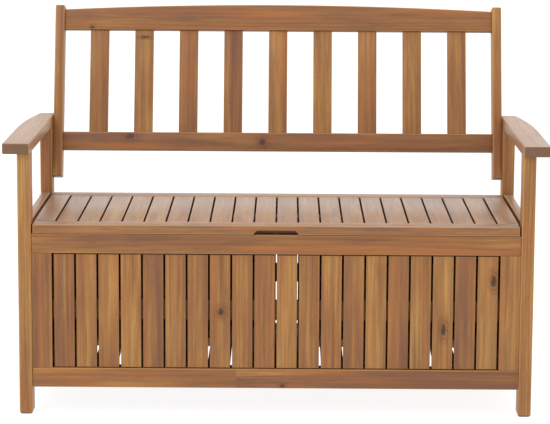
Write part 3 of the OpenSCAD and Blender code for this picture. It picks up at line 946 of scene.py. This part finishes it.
class BENCH_OT_legs(bpy.types.Operator):
    """Build the four legs, with chamfered feet and sunk bolt holes"""

    bl_idname = "bench.legs"
    bl_label = "Legs"

    def execute(self, context):
        size = settings()
        for place in ("front", "rear"):
            for side in (LEFT, RIGHT):
                node = f"{place}_leg{side}"
                low, high = node_box(node)
                leg = block(node + "_wood", low, high)
                foot, leg_top = low.z + TINY, high.z - TINY
                select_edges(leg, lambda a, b: max(a.z, b.z) < foot)
                bevel_selected(leg, size.foot_chamfer, 1)
                round_edges_but(leg, size.edge, EDGE_STEPS, lambda a, b: min(a.z, b.z) > leg_top)
                outer = low.x if side == LEFT else high.x
                cut_away(leg, *bolt_cutters(outer, low, high))
                tone = 0.73 if place == "front" else 0.42
                give_grain(leg, Z, tone + draw.uniform(-0.06, 0.06))
                dress(leg, "frame", "bench", node)
        return {"FINISHED"}


def curve_outer_edge(arm, side, start, depth):
    """Brings an arm's outer edge in along an arc from start to its rear end."""
    low_x = min(v.co.x for v in arm.data.vertices)
    high_x = max(v.co.x for v in arm.data.vertices)
    outer = low_x if side == LEFT else high_x
    end = max(v.co.y for v in arm.data.vertices)
    radius = ((end - start) ** 2 + depth**2) / (2 * depth)
    for vertex in arm.data.vertices:
        if abs(vertex.co.x - outer) < TINY and vertex.co.y > start:
            run = vertex.co.y - start
            drop = radius - math.sqrt(radius * radius - run * run)
            vertex.co.x += drop if side == LEFT else -drop


class BENCH_OT_arms(bpy.types.Operator):
    """Build the two arms, with their curved outer edges and rounded front corners"""

    bl_idname = "bench.arms"
    bl_label = "Arms"

    curve_length: FloatProperty(
        name="Curve length",
        description="Length of the arm's curved stretch, from its rear end",
        default=268 * MM,
        unit="LENGTH",
    )
    curve_depth: FloatProperty(
        name="Curve depth",
        description="How far the outer edge comes in at the rear end",
        default=23 * MM,
        unit="LENGTH",
    )
    corner: FloatProperty(
        name="Corner radius", description="Radius of the front corners", default=5 * MM, unit="LENGTH"
    )
    cuts: IntProperty(name="Cuts", description="Cuts along the arm, for its curve", default=31)

    def execute(self, context):
        size = settings()
        for side in (LEFT, RIGHT):
            node = "arm" + side
            low, high = node_box(node)
            arm = block(node + "_wood", low, high)
            cut_along(arm, Y, self.cuts)
            curve_outer_edge(arm, side, high.y - self.curve_length, self.curve_depth)
            front = low.y + TINY
            select_edges(arm, lambda a, b: max(a.y, b.y) < front and abs(a.z - b.z) > TINY)
            bevel_selected(arm, self.corner, 5)
            inner = high.x if side == LEFT else low.x
            seat = low.z + TINY
            round_edges_but(
                arm,
                size.arm_edge,
                EDGE_STEPS + 1,
                lambda a, b: max(a.z, b.z) < seat and max(abs(a.x - inner), abs(b.x - inner)) < TINY,
            )
            give_grain(arm, Y, draw.uniform(0.48, 0.58))
            dress(arm, "arm", "bench", node)
        return {"FINISHED"}


class BENCH_OT_side_frames(bpy.types.Operator):
    """Build the side rails, side slats and side battens"""

    bl_idname = "bench.side_frames"
    bl_label = "Side frames"

    def execute(self, context):
        size = settings()
        for side in (LEFT, RIGHT):
            top, bottom = "side_top_rail" + side, "side_bottom_rail" + side
            slats = "side_slats" + side
            slat_low, slat_high = node_box(slats)
            middle = (slat_low.x + slat_high.x) / 2
            joint_low, joint_high = node_box(bottom)[1].z, node_box(top)[0].z
            for node, face in ((top, joint_high), (bottom, joint_low)):
                rail = plain_board(node, size.edge)
                cut_away(rail, groove_cutter(node, X, Z, face, middle, -1 * MM))
                if node == top:
                    pin_low, pin_high = node_box("hinge_pin" + side)
                    bush_low, bush_high = node_box("hinge_bush" + side)
                    centre = (bush_low + bush_high) / 2
                    centre.x = (pin_low.x + pin_high.x) / 2
                    cut_away(rail, rod("pin hole", centre, PIN_HOLE, PIN_REACH))
                give_grain(rail, Y)
                # The side top rails take the arm wood, with its coat and its painted sheen on top.
                dress(rail, "arm" if node == top else "rail", "bench", node)
            face_low, face_high = joint_low + size.shadow_gap, joint_high - size.shadow_gap
            row = row_of_slats(slats, size.side_slats, size.board_width, Z, Y, face_low, face_high)
            dress(row, "slat", "bench", slats)
            batten("side_batten" + side)
        return {"FINISHED"}


class BENCH_OT_panels(bpy.types.Operator):
    """Build the front and rear panels: rails, end boards, slats and batten"""

    bl_idname = "bench.panels"
    bl_label = "Panels"

    def execute(self, context):
        size = settings()
        for place in ("front", "rear"):
            slats = place + "_slats"
            top, bottom = place + "_top_rail", place + "_bottom_rail"
            slat_low, slat_high = node_box(slats)
            middle = (slat_low.y + slat_high.y) / 2
            joint_low, joint_high = node_box(bottom)[1].z, node_box(top)[0].z
            for node, face in ((top, joint_high), (bottom, joint_low)):
                rail = plain_board(node, size.edge)
                cut_away(rail, groove_cutter(node, Y, Z, face, middle, size.tongue_length))
                if node == bottom:
                    rail = end_glued(rail, *RAIL_JOINTS[place])
                else:
                    give_grain(rail, X, draw.uniform(0.36, 0.44))
                dress(rail, "rail", "bench", node)
            for side in (LEFT, RIGHT):
                node = place + "_end_board" + side
                low, high = node_box(node)
                board = tongued_slat(node + "_wood", low, high, Z, joint_low, joint_high, Y)
                give_grain(board, Z, 0.28 if side == LEFT else 0.62)
                dress(board, "slat", "bench", node)
            low, high = joint_low + size.shadow_gap, joint_high - size.shadow_gap
            tones = FRONT_TONES if place == "front" else None
            row = row_of_slats(slats, size.panel_slats, size.board_width, Z, X, low, high, tones)
            dress(row, "slat", "bench", slats)
            batten(place + "_batten")
        return {"FINISHED"}


class BENCH_OT_floor(bpy.types.Operator):
    """Build the floor slats, ledgers and battens"""

    bl_idname = "bench.floor"
    bl_label = "Floor"

    def execute(self, context):
        size = settings()
        low, high = node_box("floor_slats")
        row = row_of_slats(
            "floor_slats", size.floor_slats, size.floor_slat_width, Y, X, low.y, high.y
        )
        dress(row, "slat", "bench", "floor_slats")
        for node in ("batten_front", "batten_rear", "ledger_front", "ledger_rear"):
            batten("floor_" + node)
        return {"FINISHED"}


class BENCH_OT_lid(bpy.types.Operator):
    """Build the lid: rails, end boards, slats and the batten under them"""

    bl_idname = "bench.lid"
    bl_label = "Lid"

    finger_width: FloatProperty(
        name="Cut-out width", description="Width of the finger cut-out", default=102 * MM, unit="LENGTH"
    )
    finger_height: FloatProperty(
        name="Cut-out height", description="Height of the finger cut-out", default=10 * MM, unit="LENGTH"
    )
    finger_depth: FloatProperty(
        name="Cut-out depth", description="Depth of the finger cut-out", default=22 * MM, unit="LENGTH"
    )
    finger_slant: FloatProperty(
        name="Cut-out slant", description="How far each end slants in", default=8 * MM, unit="LENGTH"
    )

    def finger_cutter(self, low):
        """The cut-out's shape: a shallow block whose ends slant in and round into its top."""
        half, rise = self.finger_width / 2, self.finger_height
        cutter = block(
            "finger cut-out",
            (-half, low.y - rise, low.z - rise),
            (half, low.y + self.finger_depth, low.z + rise),
        )
        for vertex in cutter.data.vertices:
            slant = -self.finger_slant if vertex.co.z > low.z else self.finger_slant
            vertex.co.x += math.copysign(1, vertex.co.x) * slant
        top = low.z + rise - TINY
        select_edges(cutter, lambda a, b: min(a.z, b.z) > top and abs(a.y - b.y) > TINY)
        bevel_selected(cutter, rise * 0.35, 5)
        return cutter

    def execute(self, context):
        size = settings()
        slat_low, slat_high = node_box("lid_slats")
        middle = (slat_low.z + slat_high.z) / 2
        front_low, front_high = node_box("lid_front_rail")
        rear_low, rear_high = node_box("lid_rear_rail")
        front = plain_board("lid_front_rail", size.edge)
        cut_away(front, self.finger_cutter(front_low))
        cut_away(front, groove_cutter("lid_front_rail", Z, Y, front_high.y, middle, size.tongue_length))
        give_grain(front, X, 0.20)
        dress(front, "lid", "lid", "lid_front_rail")
        rear = plain_board("lid_rear_rail", size.edge)
        cut_away(rear, groove_cutter("lid_rear_rail", Z, Y, rear_low.y, middle, size.tongue_length))
        centre = (rear_low + rear_high) / 2
        for side in (-1, 1):
            end = Vector((side * rear_high.x, centre.y, centre.z))
            cut_away(rear, rod("pin hole", end, PIN_BORE, PIN_REACH))
        give_grain(rear, X, 0.45)
        dress(rear, "lid", "lid", "lid_rear_rail")
        for side in (LEFT, RIGHT):
            node = "lid_end_board" + side
            low, high = node_box(node)
            board = tongued_slat(node + "_wood", low, high, Y, front_high.y, rear_low.y, Z)
            give_grain(board, Y)
            dress(board, "lid slat", "lid", node)
        low, high = front_high.y, rear_low.y
        row = row_of_slats("lid_slats", size.panel_slats, size.board_width, Y, X, low, high, LID_TONES)
        dress(row, "lid slat", "lid", "lid_slats")
        batten("lid_batten", "lid")
        return {"FINISHED"}


class BENCH_OT_backrest(bpy.types.Operator):
    """Build the leaning posts, the crowned top rail, the bottom rail and the slats"""

    bl_idname = "bench.backrest"
    bl_label = "Backrest"

    cuts: IntProperty(name="Cuts", description="Cuts along the top rail, for its crown", default=47)

    def crown(self, rail, height):
        """Cuts the rail along its length and lowers its top towards the ends, along an arc."""
        drop = settings().crown
        cut_along(rail, X, self.cuts)
        half = max(v.co.x for v in rail.data.vertices)
        radius = (half * half + drop * drop) / (2 * drop)
        for vertex in rail.data.vertices:
            if vertex.co.z > height - TINY:
                vertex.co.z -= radius - math.sqrt(radius * radius - vertex.co.x**2)

    def execute(self, context):
        size = settings()
        for side in (LEFT, RIGHT):
            node = "back_post" + side
            post = leaning_board(node, size.edge, tint=draw.uniform(0.52, 0.66))
            dress(post, "frame", "bench", node)
        top = leaning_board("back_top_rail", size.edge, self.crown, tint=0.38)
        dress(top, "rail", "bench", "back_top_rail")
        bottom = leaning_board("back_bottom_rail", size.edge, tint=0.30)
        dress(bottom, "rail", "bench", "back_bottom_rail")
        for index, tone in enumerate(BACK_TONES, 1):
            node = f"back_slat_{index}"
            slat = leaning_board(node, size.slat_edge, tint=tone)
            dress(slat, "back slat", "bench", node)
        return {"FINISHED"}


class BENCH_OT_fittings(bpy.types.Operator):
    """Give the pins, bushes, bolts, screws and dowels their finishes"""

    bl_idname = "bench.fittings"
    bl_label = "Fittings"

    def execute(self, context):
        for node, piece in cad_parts.items():
            if node.startswith("hinge_bush"):
                finish = "nylon"
            elif node.startswith("hinge_pin") or node.endswith(("_bolts", "_screws")):
                finish = "steel"
            elif node == "frame_dowels":
                finish = "inner"
            else:
                continue
            for slot in piece.material_slots:
                slot.material = MATERIALS[finish]
        return {"FINISHED"}


LAMPS = {"key lamp": (-2.2, -2.6, 3.8), "top lamp": (1.2, 1.6, 4.2)}  # each lamp's place
LAMP_AIM = Vector((0, 0, 0.4))


class BENCH_OT_stage(bpy.types.Operator):
    """Set the floor, the lamps, the white surroundings and the camera"""

    bl_idname = "bench.stage"
    bl_label = "Stage"

    def lamp(self, name, place, stage):
        """Hangs a square lamp that looks at the bench's middle."""
        deselect()
        bpy.ops.object.light_add(type="AREA", location=place)
        lamp = bpy.context.object
        lamp.name = name
        lamp.data.shape = "SQUARE"
        lamp.data.size = stage.lamp_width
        lamp.data.energy = stage.lamp_power
        turn = (LAMP_AIM - Vector(place)).to_track_quat("-Z", "Y")
        lamp.rotation_euler = turn.to_euler()

    def execute(self, context):
        stage = context.scene.bench_stage
        deselect()
        bpy.ops.mesh.primitive_circle_add(vertices=96, radius=40, fill_type="NGON", location=(0, 0, 0))
        floor = context.object
        floor.name = "studio_floor"
        material, _, shader = new_material("studio floor")
        shader.inputs["Base Color"].default_value = (*stage.floor_colour, 1)
        shader.inputs["Roughness"].default_value = 0.9
        shader.inputs["Emission Color"].default_value = (1, 1, 1, 1)
        shader.inputs["Emission Strength"].default_value = stage.floor_glow
        floor.data.materials.append(material)

        world = bpy.data.worlds.new("white surroundings")
        world.use_nodes = True
        background = world.node_tree.nodes["Background"]
        background.inputs["Color"].default_value = (1, 1, 1, 1)
        background.inputs["Strength"].default_value = stage.surroundings
        context.scene.world = world
        context.scene.view_settings.view_transform = "Standard"

        for name, place in LAMPS.items():
            self.lamp(name, place, stage)

        bpy.ops.object.camera_add()
        camera = context.object
        camera.name = "camera"
        camera.data.lens = stage.lens
        camera.data.sensor_width = 36
        camera.data.shift_y = stage.shift
        camera.location = (stage.camera_side, -stage.camera_distance, stage.camera_height)
        turn = Matrix.Rotation(stage.camera_yaw, 3, "Z")
        look = Matrix.Rotation(math.pi / 2 - stage.camera_pitch, 3, "X")
        roll = Matrix.Rotation(stage.camera_roll, 3, "Z")
        camera.rotation_euler = (turn @ look @ roll).to_euler()
        camera.data.clip_end = 200
        context.scene.camera = camera
        return {"FINISHED"}


class BENCH_PT_panel(bpy.types.Panel):
    """The sizes, the colours, the stage and a button for each step"""

    bl_idname = "BENCH_PT_panel"
    bl_label = "Storage bench"
    bl_space_type = "VIEW_3D"
    bl_region_type = "UI"
    bl_category = "Bench"

    def draw(self, context):
        scene = context.scene
        for group in (scene.bench_boards, scene.bench_wood, scene.bench_stage):
            box = self.layout.box()
            for name in group.__annotations__:
                box.prop(group, name)
        for step in STEPS:
            self.layout.operator(step.bl_idname)


STEPS = (
    BENCH_OT_materials,
    BENCH_OT_legs,
    BENCH_OT_arms,
    BENCH_OT_side_frames,
    BENCH_OT_panels,
    BENCH_OT_floor,
    BENCH_OT_lid,
    BENCH_OT_backrest,
    BENCH_OT_fittings,
    BENCH_OT_stage,
)
CLASSES = (BoardSettings, WoodSettings, StageSettings, *STEPS, BENCH_PT_panel)


def register():
    for cls in CLASSES:
        bpy.utils.register_class(cls)
    bpy.types.Scene.bench_boards = PointerProperty(type=BoardSettings)
    bpy.types.Scene.bench_wood = PointerProperty(type=WoodSettings)
    bpy.types.Scene.bench_stage = PointerProperty(type=StageSettings)


def unregister():
    del bpy.types.Scene.bench_stage
    del bpy.types.Scene.bench_wood
    del bpy.types.Scene.bench_boards
    for cls in reversed(CLASSES):
        bpy.utils.unregister_class(cls)


def main():
    register()
    bpy.ops.bench.materials()
    bpy.ops.bench.legs()
    bpy.ops.bench.arms()
    bpy.ops.bench.side_frames()
    bpy.ops.bench.panels()
    bpy.ops.bench.floor()
    bpy.ops.bench.lid()
    bpy.ops.bench.backrest()
    bpy.ops.bench.fittings()
    bpy.ops.bench.stage()


if __name__ == "__main__":
    main()
